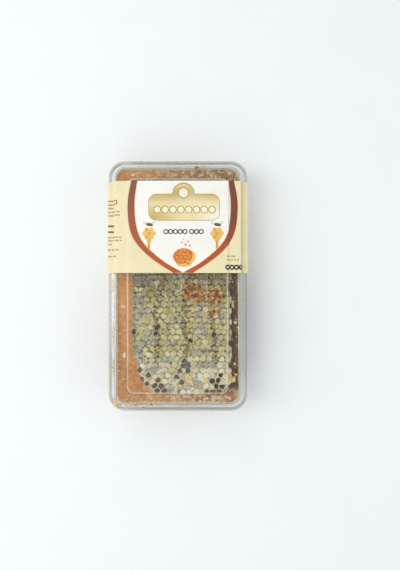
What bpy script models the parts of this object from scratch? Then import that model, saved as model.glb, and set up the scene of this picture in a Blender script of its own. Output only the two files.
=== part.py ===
"""A piece of capped honeycomb in honey, in its shut clear box with a printed band round the lid.

Metres, +Z up, +Y along the box. The origin is the middle of the tray's underside.
"""

import math

import bmesh
import bpy
from mathutils import Matrix

MM = 0.001
GAP = 0.3 * MM  # clearance that touching pieces keep
SHEET = 0.9 * MM  # wall of the clear tray and lid

LID_WIDTH = 113 * MM
LID_LENGTH = 204 * MM
LID_CORNER = 13 * MM
LID_TOP = 47.6 * MM
PANEL_RISE = 1.2 * MM  # the raised panel in the middle of the lid
PANEL_RAMP = 0.8 * MM
DOME_RISE = 5.6 * MM  # from the lid's shoulder to its flat
DOME_LEAN = 0.3 * MM
DOME_CORNER = 9 * MM
SHOULDER = 5.2 * MM  # width of the shoulder that sits on the tray's flange
SKIRT_DEPTH = 9.8 * MM
PANEL_INSET_SIDE = 15.8 * MM
PANEL_INSET_END = 15.3 * MM
PANEL_CORNER = 5 * MM
EDGE_ROUND = 0.8 * MM

SHOULDER_Z = LID_TOP - PANEL_RISE - DOME_RISE
FLANGE_Z = SHOULDER_Z - SHEET - GAP
FLANGE_INSET = SHEET + GAP + 0.05 * MM
FLANGE_LIP = 3 * MM
MOUTH_INSET = 6.2 * MM  # from the lid's edge to the inside of the tray's mouth
MOUTH_CORNER = 8 * MM
FLOOR_INSET = 8.6 * MM  # the tray's walls lean out by the difference
FLOOR_CORNER = 7 * MM
FLOOR_ROUND = 2 * MM

HONEY_LEVEL = 38.6 * MM

CELL = 5.2 * MM  # across the flats of a worker cell
COMB_LEFT, COMB_RIGHT = -38.3 * MM, 44.2 * MM
COMB_NEAR, COMB_FAR = -88.6 * MM, 87.4 * MM
COMB_TOP = 41.4 * MM  # the cut slab, without its caps
CUT_CORNER = (7 * MM, 7 * MM)  # radii along X and Y
WORN_CORNER = (9 * MM, 16 * MM)
BROKEN_CORNER = (21 * MM, 52 * MM)
CAP_RIM = 0.5 * MM  # the caps' edges stand this far above the slab
CAP_ROOT = 1 * MM  # and start this far inside it
CAP_DOME = 0.9 * MM
CAPS_KEEP_IN = 2.3 * MM  # from the slab's edge to the middle of its outermost cells

LABEL_SHEET = 0.25 * MM
LABEL_PROUD = 0.55 * MM  # the band bulges this far off the lid's skirt
LABEL_BEND = 1.2 * MM
LABEL_NEAR, LABEL_FAR = 10.5 * MM, 84.8 * MM
LABEL_LEAVES_LID = SHOULDER_Z - SKIRT_DEPTH
LABEL_MEETS_TRAY = 21 * MM
LABEL_END = 9 * MM

COLOURS = {
    "clear_plastic": ((0.86, 0.88, 0.87), 0.12),
    "wax": ((0.48, 0.41, 0.20), 0.45),
    "honey": ((0.42, 0.20, 0.08), 0.15),
    "print": ((0.84, 0.76, 0.48), 0.35),
}


def clear_scene():
    for obj in list(bpy.data.objects):
        bpy.data.objects.remove(obj, do_unlink=True)


def material(name):
    colour, roughness = COLOURS[name]
    made = bpy.data.materials.get(name)
    if made is None:
        made = bpy.data.materials.new(name)
        made.use_nodes = True
        shader = made.node_tree.nodes["Principled BSDF"]
        shader.inputs["Base Color"].default_value = (*colour, 1)
        shader.inputs["Roughness"].default_value = roughness
    return made


def new_object(name, bm, group, finish=None):
    """The bmesh as a named object in a collection."""
    mesh = bpy.data.meshes.new(name)
    bm.to_mesh(mesh)
    bm.free()
    obj = bpy.data.objects.new(name, mesh)
    group.objects.link(obj)
    if finish:
        mesh.materials.append(material(finish))
    return obj


def corner_arcs(left, right, near, far, radii, steps):
    """Points round a box with elliptical corners, anticlockwise from the near right one.

    radii holds (along X, along Y) for the near right, far right, far left and near left corners.
    """
    corners = ((right, near, 1, -1), (right, far, 1, 1), (left, far, -1, 1), (left, near, -1, -1))
    points = []
    for quarter, ((x, y, side, end), (rx, ry)) in enumerate(zip(corners, radii)):
        for step in range(steps + 1):
            angle = math.radians(-90 + 90 * (quarter + step / steps))
            points.append(
                (x - side * rx + rx * math.cos(angle), y - end * ry + ry * math.sin(angle))
            )
    return points


def rounded_box(inset_side, inset_end, radius, steps=7):
    """The outline of a rounded rectangle, set in from the lid's outer edge."""
    half_width = LID_WIDTH / 2 - inset_side
    half_length = LID_LENGTH / 2 - inset_end
    return corner_arcs(
        -half_width, half_width, -half_length, half_length, [(radius, radius)] * 4, steps
    )


def square_inset(inset, radius):
    """The same, set in equally on all four sides."""
    return rounded_box(inset, inset, radius)


def loft(bm, rings, cap_first, cap_last):
    """A skin through outlines at their heights, with its ends filled if asked.

    The sections differ in corner radius and inset, so they are joined point to point. The skin
    faces away from a solid that is built upwards, and up from a shell built from its rim inwards.
    """
    loops = [[bm.verts.new((x, y, z)) for x, y in outline] for outline, z in rings]
    for first, second in zip(loops, loops[1:]):
        for i in range(len(first)):
            j = (i + 1) % len(first)
            bm.faces.new((first[i], first[j], second[j], second[i]))
    if cap_first:
        bm.faces.new(reversed(loops[0]))
    if cap_last:
        bm.faces.new(loops[-1])


def block(name, outline, bottom, top, group, finish=None):
    """A straight-sided solid on the outline."""
    bm = bmesh.new()
    loft(bm, [(outline, bottom), (outline, top)], True, True)
    return new_object(name, bm, group, finish)


def thicken(obj):
    """Gives an open skin the sheet's thickness, behind the side that it faces."""
    shell = obj.modifiers.new("wall", "SOLIDIFY")
    shell.thickness = SHEET
    shell.offset = -1
    shell.use_even_offset = True


def combine(obj, other, operation):
    boolean = obj.modifiers.new(operation.lower(), "BOOLEAN")
    boolean.operation = operation
    boolean.solver = "EXACT"
    boolean.object = other


def helper(obj):
    obj.hide_render = True
    obj.display_type = "WIRE"
    return obj


def comb_outline(grow=0.0):
    """The slab seen from above: cut almost square, with one corner broken away in a long curve."""
    corners = [WORN_CORNER, CUT_CORNER, CUT_CORNER, BROKEN_CORNER]
    return corner_arcs(
        COMB_LEFT - grow,
        COMB_RIGHT + grow,
        COMB_NEAR - grow,
        COMB_FAR + grow,
        [(along_x + grow, along_y + grow) for along_x, along_y in corners],
        9,
    )


def inside(outline, x, y, margin):
    """Whether a point lies in a convex outline, by more than the margin."""
    for (ax, ay), (bx, by) in zip(outline, outline[1:] + outline[:1]):
        length = math.hypot(bx - ax, by - ay)
        if length > 0 and (bx - ax) * (y - ay) - (by - ay) * (x - ax) < margin * length:
            return False
    return True


def cell_centres():
    """Middles of the cells whose caps fit on the slab: rows along X, every second one shifted."""
    outline = comb_outline()
    pitch = CELL * math.sqrt(3) / 2
    rows = int((COMB_FAR - COMB_NEAR - 2 * CAPS_KEEP_IN) / pitch)
    columns = int((COMB_RIGHT - COMB_LEFT - 2 * CAPS_KEEP_IN) / CELL)
    first_x = (COMB_LEFT + COMB_RIGHT - (columns + 0.5) * CELL) / 2
    first_y = (COMB_NEAR + COMB_FAR - rows * pitch) / 2
    for row in range(rows + 1):
        y = first_y + row * pitch
        for column in range(columns + 1):
            x = first_x + (column + 0.5 * (row % 2)) * CELL
            if inside(outline, x, y, CAPS_KEEP_IN):
                yield x, y


def make_honeycomb(group, helpers):
    """The cut slab, with a low dome on each capped cell."""
    slab = block("honeycomb", comb_outline(), SHEET + GAP, COMB_TOP, group, "wax")
    bm = bmesh.new()
    for x, y in cell_centres():
        bmesh.ops.create_circle(
            bm,
            cap_ends=True,
            segments=6,
            radius=CELL / math.sqrt(3),
            matrix=Matrix.Translation((x, y, COMB_TOP + CAP_RIM)),
        )
    bmesh.ops.remove_doubles(bm, verts=bm.verts, dist=0.01 * MM)
    under = bmesh.ops.extrude_face_region(bm, geom=list(bm.faces))["geom"]
    moved = [item for item in under if isinstance(item, bmesh.types.BMVert)]
    bmesh.ops.translate(bm, verts=moved, vec=(0, 0, -CAP_RIM - CAP_ROOT))
    bmesh.ops.recalc_face_normals(bm, faces=list(bm.faces))
    tops = [face for face in bm.faces if face.normal.z > 0.5]
    bmesh.ops.poke(bm, faces=tops, offset=CAP_DOME)
    combine(slab, helper(new_object("cell_caps", bm, helpers)), "UNION")
    return slab


def wall_inset(z):
    """How far the inside of the tray's leaning wall is set in from the lid's edge, at a height."""
    low = SHEET + FLOOR_ROUND
    return FLOOR_INSET + (MOUTH_INSET - FLOOR_INSET) * (z - low) / (FLANGE_Z - low)


def make_honey(group, helpers):
    """The honey that fills the tray round the slab, up to its level."""
    bottom = SHEET + GAP
    side_foot = bottom + FLOOR_ROUND
    foot = wall_inset(side_foot) + GAP
    level = wall_inset(HONEY_LEVEL) + GAP
    bm = bmesh.new()
    loft(
        bm,
        [
            (square_inset(foot + FLOOR_ROUND, FLOOR_CORNER - FLOOR_ROUND), bottom),
            (square_inset(foot, FLOOR_CORNER), side_foot),
            (square_inset(level, MOUTH_CORNER), HONEY_LEVEL),
        ],
        True,
        True,
    )
    honey = new_object("honey", bm, group, "honey")
    hole = block("comb_space", comb_outline(GAP), -GAP, LID_TOP, helpers)
    combine(honey, helper(hole), "DIFFERENCE")
    return honey


def make_tray(group):
    """The clear tray: flat floor, leaning walls and a flange with a turned-down lip."""
    bm = bmesh.new()
    loft(
        bm,
        [
            (square_inset(FLANGE_INSET, LID_CORNER - FLANGE_INSET), FLANGE_Z - FLANGE_LIP),
            (square_inset(FLANGE_INSET, LID_CORNER - FLANGE_INSET), FLANGE_Z),
            (square_inset(MOUTH_INSET, MOUTH_CORNER), FLANGE_Z),
            (square_inset(FLOOR_INSET, FLOOR_CORNER), SHEET + FLOOR_ROUND),
            (square_inset(FLOOR_INSET + FLOOR_ROUND, FLOOR_CORNER - FLOOR_ROUND), SHEET),
        ],
        False,
        True,
    )
    tray = new_object("tray", bm, group, "clear_plastic")
    thicken(tray)
    return tray


def make_lid(group):
    """The clear lid: a skirt over the flange, a shoulder, a dome wall, a flat and a raised panel."""
    flat_z = LID_TOP - PANEL_RISE
    dome_edge = SHOULDER + DOME_LEAN
    bm = bmesh.new()
    loft(
        bm,
        [
            (square_inset(0, LID_CORNER), SHOULDER_Z - SKIRT_DEPTH),
            (square_inset(0, LID_CORNER), SHOULDER_Z - EDGE_ROUND),
            (square_inset(EDGE_ROUND, LID_CORNER - EDGE_ROUND), SHOULDER_Z),
            (square_inset(SHOULDER, DOME_CORNER), SHOULDER_Z),
            (square_inset(dome_edge, DOME_CORNER), flat_z - EDGE_ROUND),
            (square_inset(dome_edge + EDGE_ROUND, DOME_CORNER - EDGE_ROUND), flat_z),
            (
                rounded_box(
                    PANEL_INSET_SIDE - PANEL_RAMP,
                    PANEL_INSET_END - PANEL_RAMP,
                    PANEL_CORNER + PANEL_RAMP,
                ),
                flat_z,
            ),
            (rounded_box(PANEL_INSET_SIDE, PANEL_INSET_END, PANEL_CORNER), LID_TOP),
        ],
        False,
        True,
    )
    lid = new_object("lid", bm, group, "clear_plastic")
    thicken(lid)
    return lid


def tray_side(z):
    """Where the outside of the tray's long wall stands, at a height."""
    return LID_WIDTH / 2 - wall_inset(z) + SHEET


def label_path():
    """The band's section as it lies on the pack, from its edge on one side of the tray to the other."""
    edge = LID_WIDTH / 2 + LABEL_PROUD
    dome = LID_WIDTH / 2 - SHOULDER
    panel = LID_WIDTH / 2 - PANEL_INSET_SIDE
    flat_z = LID_TOP - PANEL_RISE
    half = [
        (tray_side(LABEL_END), LABEL_END),
        (tray_side(LABEL_MEETS_TRAY), LABEL_MEETS_TRAY),
        (edge, LABEL_LEAVES_LID),
        (edge, SHOULDER_Z - LABEL_BEND),
        (edge - LABEL_BEND, SHOULDER_Z),
        (dome + LABEL_BEND, SHOULDER_Z),
        (dome, SHOULDER_Z + LABEL_BEND),
        (dome - DOME_LEAN, flat_z - EDGE_ROUND),
        (dome - DOME_LEAN - EDGE_ROUND, flat_z),
        (panel + PANEL_RAMP, flat_z),
        (panel, LID_TOP),
    ]
    return half + [(-x, z) for x, z in reversed(half)]


def parallel(path, off):
    """The path moved outwards by a distance, with its corners mitred."""
    sides = []
    for (ax, az), (bx, bz) in zip(path, path[1:]):
        length = math.hypot(bx - ax, bz - az)
        sides.append(((bz - az) / length, (ax - bx) / length))
    moved = []
    for (x, z), (nx, nz), (mx, mz) in zip(path, sides[:1] + sides, sides + sides[-1:]):
        mitre = off / (1 + nx * mx + nz * mz)
        moved.append((x + (nx + mx) * mitre, z + (nz + mz) * mitre))
    return moved


def make_label(group):
    """The printed band, a thin sheet bent over the lid and stuck down both walls of the tray."""
    path = label_path()
    section = parallel(path, GAP) + parallel(path, GAP + LABEL_SHEET)[::-1]
    curve = bpy.data.curves.new("label", "CURVE")
    curve.dimensions = "2D"
    curve.fill_mode = "BOTH"
    curve.extrude = (LABEL_FAR - LABEL_NEAR) / 2
    spline = curve.splines.new("POLY")
    spline.points.add(len(section) - 1)
    for point, (x, z) in zip(spline.points, section):
        point.co = (x, z, 0, 1)
    spline.use_cyclic_u = True
    curve.materials.append(material("print"))
    label = bpy.data.objects.new("label", curve)
    label.rotation_euler.x = math.radians(90)
    label.location.y = (LABEL_FAR + LABEL_NEAR) / 2
    group.objects.link(label)
    return label


def main():
    clear_scene()
    scene = bpy.context.scene
    pieces = bpy.data.collections.new("honeycomb_pack")
    helpers = bpy.data.collections.new("cutters")
    helpers.hide_render = True
    scene.collection.children.link(pieces)
    scene.collection.children.link(helpers)
    make_tray(pieces)
    make_honey(pieces, helpers)
    make_honeycomb(pieces, helpers)
    make_lid(pieces)
    make_label(pieces)


main()
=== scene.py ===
"""Looks of a slab of capped honeycomb in honey, shut in its clear box with a printed paper band."""

import math
import random

import bmesh
import bpy
from mathutils import Matrix, Vector, kdtree, noise


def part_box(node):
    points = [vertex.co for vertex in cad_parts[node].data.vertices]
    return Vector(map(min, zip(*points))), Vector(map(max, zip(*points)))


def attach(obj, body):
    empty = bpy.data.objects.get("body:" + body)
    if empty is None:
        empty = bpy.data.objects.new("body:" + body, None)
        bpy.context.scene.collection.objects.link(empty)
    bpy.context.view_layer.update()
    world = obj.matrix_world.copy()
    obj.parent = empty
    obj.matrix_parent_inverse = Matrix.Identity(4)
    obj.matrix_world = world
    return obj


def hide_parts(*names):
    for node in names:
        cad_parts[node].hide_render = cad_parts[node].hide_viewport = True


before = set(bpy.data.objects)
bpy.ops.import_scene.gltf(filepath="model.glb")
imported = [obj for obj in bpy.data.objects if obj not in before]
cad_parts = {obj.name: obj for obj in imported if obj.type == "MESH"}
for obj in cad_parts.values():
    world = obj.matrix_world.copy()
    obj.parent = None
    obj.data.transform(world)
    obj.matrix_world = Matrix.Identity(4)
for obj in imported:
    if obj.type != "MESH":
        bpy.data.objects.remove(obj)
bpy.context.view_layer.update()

MM = 0.001


# --- Tray -------------------------------------------------------------------------------------
# A clear tray pressed from thin rigid plastic: flat floor, leaning walls, and a flange with a
# turned-down lip that stiffens the mouth. Every bend is rounded, as sheet drawn into a mould is.


def tint(red, green, blue):
    """A paint colour on the usual 0 to 255 scale, as the linear colour that a shader takes."""
    channels = [value / 255 for value in (red, green, blue)]
    linear = [c / 12.92 if c <= 0.04045 else ((c + 0.055) / 1.055) ** 2.4 for c in channels]
    return (*linear, 1)


def add(tree, kind, inputs=None, **settings):
    """A shader node with its settings, and its inputs given as values or as other nodes' outputs."""
    made = tree.nodes.new(kind)
    for name, value in settings.items():
        setattr(made, name, value)
    for name, value in (inputs or {}).items():
        if isinstance(value, bpy.types.NodeSocket):
            tree.links.new(value, made.inputs[name])
        else:
            made.inputs[name].default_value = value
    return made


def blank_material(name):
    material = bpy.data.materials.new(name)
    material.use_nodes = True
    material.node_tree.nodes.clear()
    return material, material.node_tree


def speckle(tree, scale, detail=3.0, stretch=(1, 1, 1), roughness=0.5):
    """Noise fixed to the piece, at a number of cycles to the metre."""
    place = add(tree, "ShaderNodeTexCoord").outputs["Object"]
    placed = add(tree, "ShaderNodeMapping", {"Vector": place, "Scale": stretch})
    inputs = {
        "Vector": placed.outputs["Vector"],
        "Scale": scale,
        "Detail": detail,
        "Roughness": roughness,
    }
    return add(tree, "ShaderNodeTexNoise", inputs).outputs["Fac"]


def ranged(tree, value, low, high, to_low=0.0, to_high=1.0):
    """A value's range stretched to another, and clamped there."""
    inputs = {
        "Value": value,
        "From Min": low,
        "From Max": high,
        "To Min": to_low,
        "To Max": to_high,
    }
    return add(tree, "ShaderNodeMapRange", inputs).outputs["Result"]


def maths(tree, how, first, second):
    return add(tree, "ShaderNodeMath", {0: first, 1: second}, operation=how).outputs[0]


def mixed(tree, share, first, second):
    """Two colours mixed by a share of the second."""
    made = add(tree, "ShaderNodeMix", data_type="RGBA")
    for socket, value in ((made.inputs[0], share), (made.inputs[6], first), (made.inputs[7], second)):
        if isinstance(value, bpy.types.NodeSocket):
            tree.links.new(value, socket)
        else:
            socket.default_value = value
    return made.outputs[2]


def attribute(tree, name):
    return add(tree, "ShaderNodeAttribute", attribute_name=name).outputs["Fac"]


def position(tree, axis):
    place = add(tree, "ShaderNodeTexCoord").outputs["Object"]
    return add(tree, "ShaderNodeSeparateXYZ", {0: place}).outputs[axis]


def clear_plastic(name, haze):
    """Thin clear sheet: clear face on, darker through its depth edge on, with painted highlight (milky
    white, in streaks) at its bends and painted shade where the bend value is negative.
    """
    material, tree = blank_material(name)
    edge_on = add(tree, "ShaderNodeLayerWeight", {"Blend": 0.5}).outputs["Facing"]
    painted_bend_light = attribute(tree, "painted_bend_light")
    # Painted light at the bends: painted highlight above 0, painted shade below 0, which also darkens the
    # see-through colour.
    painted_highlight = ranged(tree, painted_bend_light, 0, 1)
    dark = ranged(tree, painted_bend_light, 0, -1)
    steep = maths(tree, "POWER", edge_on, 2.5)
    depth = maths(tree, "MAXIMUM", ranged(tree, steep, 0.08, 0.9), dark)
    clear = mixed(tree, depth, (0.985, 0.988, 0.985, 1), tint(176, 170, 158))
    scuffs = speckle(tree, 420, 4)
    shine_inputs = {
        "Color": (1, 1, 1, 1),
        "Roughness": ranged(tree, scuffs, 0.35, 0.7, 0.03, 0.1),
    }
    through = add(tree, "ShaderNodeBsdfTransparent", {"Color": clear})
    shine = add(tree, "ShaderNodeBsdfGlossy", shine_inputs)
    milk = add(tree, "ShaderNodeBsdfDiffuse", {"Color": tint(240, 236, 226)})
    haze_and_highlight = ranged(tree, steep, 0, 1, haze, haze + 0.12)
    highlight_streaks = ranged(tree, speckle(tree, 160, 3), 0.3, 0.7, 0.45, 0.75)
    haze_and_highlight = maths(tree, "ADD", haze_and_highlight, maths(tree, "MULTIPLY", painted_highlight, highlight_streaks))
    cloudy = add(
        tree, "ShaderNodeMixShader", {0: haze_and_highlight, 1: through.outputs[0], 2: milk.outputs[0]}
    )
    shine_share = ranged(tree, steep, 0, 1, 0.018, 0.42)
    sheet = add(
        tree, "ShaderNodeMixShader", {0: shine_share, 1: cloudy.outputs[0], 2: shine.outputs[0]}
    )
    add(tree, "ShaderNodeOutputMaterial", {"Surface": sheet.outputs[0]})
    return material


def settle(piece, node=None):
    """Ties a piece to the pack's one body, and hides the model's part that it stands in for."""
    if piece.name not in bpy.context.scene.collection.objects:
        bpy.context.scene.collection.objects.link(piece)
    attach(piece, "root")
    if node:
        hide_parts(node)
    return piece


def new_piece(name, verts, faces, material, slot, node=None):
    """A smooth-shaded mesh in the frame's own place."""
    mesh = bpy.data.meshes.new(name)
    mesh.from_pydata(verts, [], faces)
    mesh.materials.append(material)
    mesh.shade_smooth()
    mesh.set_sharp_from_angle(angle=math.radians(50))
    return settle(bpy.data.objects.new(name, mesh), node)


def give_values(piece, name, values):
    """A named value for each of the piece's points, which its material reads."""
    layer = piece.data.attributes.new(name, "FLOAT", "POINT")
    layer.data.foreach_set("value", values)


lid_low, lid_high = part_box("lid")
tray_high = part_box("tray")[1]
sheet = 0.9 * MM


def rounded_box(inset_side, inset_end, radius, corner_steps=12, side_steps=1):
    """Points round a rounded rectangle, anticlockwise, set in from the lid's outer edge."""
    half_x = lid_high.x - inset_side
    half_y = lid_high.y - inset_end
    middles = [
        Vector((side * (half_x - radius), end * (half_y - radius)))
        for side, end in ((1, -1), (1, 1), (-1, 1), (-1, -1))
    ]
    points = []
    for quarter, middle in enumerate(middles):
        for step in range(corner_steps + 1):
            angle = math.radians(90 * (quarter - 1 + step / corner_steps))
            points.append(middle + radius * Vector((math.cos(angle), math.sin(angle))))
        turn = math.radians(90 * quarter)
        start = points[-1]
        finish = middles[(quarter + 1) % 4] + radius * Vector((math.cos(turn), math.sin(turn)))
        points += [start.lerp(finish, step / side_steps) for step in range(1, side_steps)]
    return points


def softened(stations, steps=4):
    """A section's stations with each corner rounded over its own distance.

    A station is (inset at the sides, inset at the ends, height, corner radius, painted light, rounding).
    The painted light is how much painted highlight, milky white, the sheet gets where it turns there,
    or how much painted shade where it is negative.
    """
    made = []
    for i, (*here, painted_bend_light, rounding) in enumerate(stations):
        here = Vector(here)
        if rounding == 0:
            made.append((*here, painted_bend_light))
            continue
        before, after = Vector(stations[i - 1][:4]), Vector(stations[i + 1][:4])
        into = here.lerp(before, rounding / math.hypot(here[0] - before[0], here[2] - before[2]))
        out = here.lerp(after, rounding / math.hypot(here[0] - after[0], here[2] - after[2]))
        for step in range(steps + 1):
            share = step / steps
            point = into.lerp(here, share).lerp(here.lerp(out, share), share)
            made.append((*point, painted_bend_light * 4 * share * (1 - share)))
    return made


def loft(rings, closed=False):
    """A skin through rings of points, capped at both ends, or joined up from last ring to first."""
    count = len(rings[0])
    verts = [point for ring in rings for point in ring]
    faces = []
    for level in range(len(rings) - (not closed)):
        for i in range(count):
            j = (i + 1) % count
            low, high = level * count, (level + 1) % len(rings) * count
            faces.append((low + i, low + j, high + j, high + i))
    if not closed:
        faces.append(tuple(range(count - 1, -1, -1)))
        faces.append(tuple(range((len(rings) - 1) * count, len(rings) * count)))
    return verts, faces


def clear_shell(name, stations, material, node):
    """A clear sheet turned through its stations, with the painted highlight and painted shade at its bends
    marked for the material.
    """
    smooth = softened(stations)
    rings = [
        [(x, y, z) for x, y in rounded_box(side, end, radius)]
        for side, end, z, radius, painted_bend_light in smooth
    ]
    shell = new_piece(name, *loft(rings), material, "clear_plastic", node)
    give_values(shell, "painted_bend_light", [painted_bend_light for *_, painted_bend_light in smooth for _ in rings[0]])
    shell.modifiers.new("flats_stay_flat", "WEIGHTED_NORMAL").weight = 100
    return shell


lip_inset = lid_high.x - tray_high.x
mouth_inset = 6.2 * MM
floor_inset = 8.6 * MM
mouth_corner, floor_corner, lid_corner = 8 * MM, 7 * MM, 13 * MM
lip_corner = lid_corner - lip_inset
flange_z = tray_high.z
lip_z = flange_z - 3 * MM
floor_round = 2 * MM
flat_in = floor_inset + 3 * MM
lip_back = lip_inset + sheet
mouth_back, floor_back = mouth_inset - sheet, floor_inset - sheet

# Each station's fifth number is the painted highlight, milky white, where the tray's sheet turns at its
# floor, lip and mouth.
tray_stations = [
    (flat_in, flat_in, 0, floor_corner - 3 * MM, 0, 0),
    (floor_back, floor_back, 0, floor_corner, 0.3, 2.4 * MM),
    (mouth_back, mouth_back, flange_z - sheet, mouth_corner, 0, 0.6 * MM),
    (lip_back, lip_back, flange_z - sheet, lip_corner - sheet, 0, 0.3 * MM),
    (lip_back, lip_back, lip_z, lip_corner - sheet, 0.4, 0.2 * MM),
    (lip_inset, lip_inset, lip_z, lip_corner, 0.4, 0.2 * MM),
    (lip_inset, lip_inset, flange_z, lip_corner, 0.5, 1.0 * MM),
    (mouth_inset, mouth_inset, flange_z, mouth_corner, 0.8, 0.9 * MM),
    (floor_inset, floor_inset, sheet, floor_corner, 0, floor_round),
    (flat_in, flat_in, sheet, floor_corner - 3 * MM, 0, 0),
]
tray_plastic = clear_plastic("clear tray plastic", haze=0.012)
clear_shell("clear_tray", tray_stations, tray_plastic, "tray")


# --- Honey ------------------------------------------------------------------------------------
# Honey run out of the cut cells: it fills the tray round the slab and creeps up the walls. It is
# painted lighter and warmer down the left side as painted light, and a dark strip of painted shade
# runs down the right. It reaches just into the walls, so no air shows.

honey_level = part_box("honey")[1].z
into_wall = 0.35 * MM
creep = 0.9 * MM  # how far the honey's edge climbs the wall

honey_material, tree = blank_material("brown honey")
cloud = speckle(tree, 60, 4, (1, 0.4, 1))
curdle = speckle(tree, 330, 4)
grain = speckle(tree, 1100, 2)
across = position(tree, "X")
# Painted light: the honey towards the lamp's side is painted lighter and warmer than at the ends.
painted_lit_brown = mixed(tree, ranged(tree, cloud, 0.36, 0.62), tint(188, 128, 66), tint(228, 156, 78))
painted_lit_brown = mixed(tree, ranged(tree, curdle, 0.5, 0.75, 0, 0.6), painted_lit_brown, tint(212, 164, 106))
end_brown = mixed(tree, ranged(tree, cloud, 0.35, 0.65), tint(188, 146, 92), tint(148, 100, 56))
end_brown = mixed(tree, ranged(tree, curdle, 0.47, 0.59, 0, 0.85), end_brown, tint(224, 204, 166))
colour = mixed(tree, ranged(tree, across, -0.046, 0.02), painted_lit_brown, end_brown)
# Painted shade: a dark brown strip down the right side, in the slab's shade, kept clear of the ends.
painted_shade_brown = mixed(tree, ranged(tree, cloud, 0.4, 0.6), tint(68, 28, 6), tint(94, 62, 30))
painted_shade_brown = mixed(tree, ranged(tree, curdle, 0.5, 0.68, 0, 0.75), painted_shade_brown, tint(152, 108, 60))
ends_clear = ranged(tree, maths(tree, "ABSOLUTE", position(tree, "Y"), 0.0), 0.092, 0.082)
shade_strip = maths(tree, "MULTIPLY", ranged(tree, across, 0.037, 0.043), ends_clear)
colour = mixed(tree, shade_strip, colour, painted_shade_brown)
colour = mixed(tree, ranged(tree, grain, 0.62, 0.8, 0, 0.5), colour, tint(224, 196, 158))
surface = maths(tree, "ADD", speckle(tree, 160, 2), maths(tree, "MULTIPLY", curdle, 0.6))
honey_inputs = {
    "Base Color": colour,
    "Roughness": ranged(tree, curdle, 0.3, 0.7, 0.16, 0.36),
    "IOR": 1.49,
    "Normal": add(
        tree, "ShaderNodeBump", {"Height": surface, "Strength": 0.3, "Distance": 0.0006}
    ).outputs[0],
}
honey_shader = add(tree, "ShaderNodeBsdfPrincipled", honey_inputs)
add(tree, "ShaderNodeOutputMaterial", {"Surface": honey_shader.outputs[0]})


def wall_inset(z):
    """How far the tray's inner wall is inside the lid's outer edge at a height."""
    return floor_inset + (mouth_inset - floor_inset) * (z - sheet) / (flange_z - sheet)


def honey_ring(inset, z, corner, waves=0.0):
    """One ring of the pool, with its surface gently uneven."""
    ring = []
    for x, y in rounded_box(inset, inset, corner, 12, 60):
        ring.append((x, y, z + waves * noise.noise((x * 160, y * 90, 3.0))))
    return ring


foot = wall_inset(sheet + floor_round) - into_wall
under = sheet - into_wall
honey_rings = [
    honey_ring(foot + floor_round, under, floor_corner - floor_round),
    honey_ring(foot + 0.6 * MM, under + 0.6 * MM, floor_corner - 0.6 * MM),
    honey_ring(foot, sheet + floor_round, floor_corner),
]
for share in (0.35, 0.7, 0.95):
    z = sheet + floor_round + (honey_level - sheet - floor_round) * share
    honey_rings.append(honey_ring(wall_inset(z) - into_wall, z, mouth_corner))
edge = wall_inset(honey_level) - into_wall
for inwards, drop in ((0, 0), (0.35, 0.1), (0.9, 0.45), (1.8, 0.75), (3.2, 0.88)):
    swell = 0.12 * MM * min(inwards, 1)
    corner = mouth_corner - min(inwards * MM, 3 * MM)
    honey_rings.append(honey_ring(edge + inwards * MM, honey_level - drop * creep, corner, swell))
for inwards in (5, 7.5, 10, 13, 17, 22):
    honey_rings.append(honey_ring(edge + inwards * MM, honey_level - creep, 5 * MM, 0.4 * MM))
new_piece("honey_pool", *loft(honey_rings), honey_material, "honey", "honey")

# Pale froth that dries along the line where the honey meets the wall, widest down one side.
froth_material, tree = blank_material("dried froth")
froth_spots = speckle(tree, 800, 3)
froth_inputs = {
    "Base Color": mixed(
        tree, ranged(tree, froth_spots, 0.36, 0.56), tint(206, 178, 138), tint(244, 238, 222)
    ),
    "Roughness": ranged(tree, froth_spots, 0.3, 0.7, 0.3, 0.5),
}
froth_shader = add(tree, "ShaderNodeBsdfPrincipled", froth_inputs)
add(tree, "ShaderNodeOutputMaterial", {"Surface": froth_shader.outputs[0]})


def froth_ring(share, lift):
    """A ring of the froth, at a share of its uneven width in from the wall."""
    ring = []
    base = wall_inset(honey_level)
    for x, y in rounded_box(base - 0.2 * MM, base - 0.2 * MM, mouth_corner, 12, 90):
        width = 0.75 * MM + 0.35 * MM * max(0, -x) / lid_high.x
        width *= 1 + 0.55 * noise.noise((x * 500, y * 500, 6.0))
        width += 0.7 * MM * max(0, noise.noise((x * 110, y * 110, 1.0)))
        inner = Vector((x * (1 - 0.0205), y * (1 - 0.0105)))  # about a millimetre inwards
        inwards = (inner - Vector((x, y))).normalized()
        spot = Vector((x, y)) + inwards * (0.2 * MM + width) * share
        ring.append((spot.x, spot.y, honey_level + lift))
    return ring


froth_rings = [
    froth_ring(1.0, -0.95 * MM),
    froth_ring(0.0, -0.95 * MM),
    froth_ring(0.0, 0.35 * MM),
    froth_ring(0.4, 0.3 * MM),
    froth_ring(0.85, -0.25 * MM),
]
new_piece("froth_line", *loft(froth_rings[::-1], closed=True), froth_material, "honey")


# --- Honeycomb --------------------------------------------------------------------------------
# The cut slab of natural comb: rows of cells sealed by small domes of wax that run into each
# other. Some caps have sunk or are smeared grey, some are torn, and some cells stand open.

comb_low, comb_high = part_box("honeycomb")
cell = 5.2 * MM
row_pitch = cell * math.sqrt(3) / 2
crown_z = comb_high.z - 0.75 * MM
under_honey = honey_level - 3.5 * MM
broken_corner = (21 * MM, 52 * MM)
worn_corner = (9 * MM, 16 * MM)
cut_corner = (7 * MM, 7 * MM)

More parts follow.
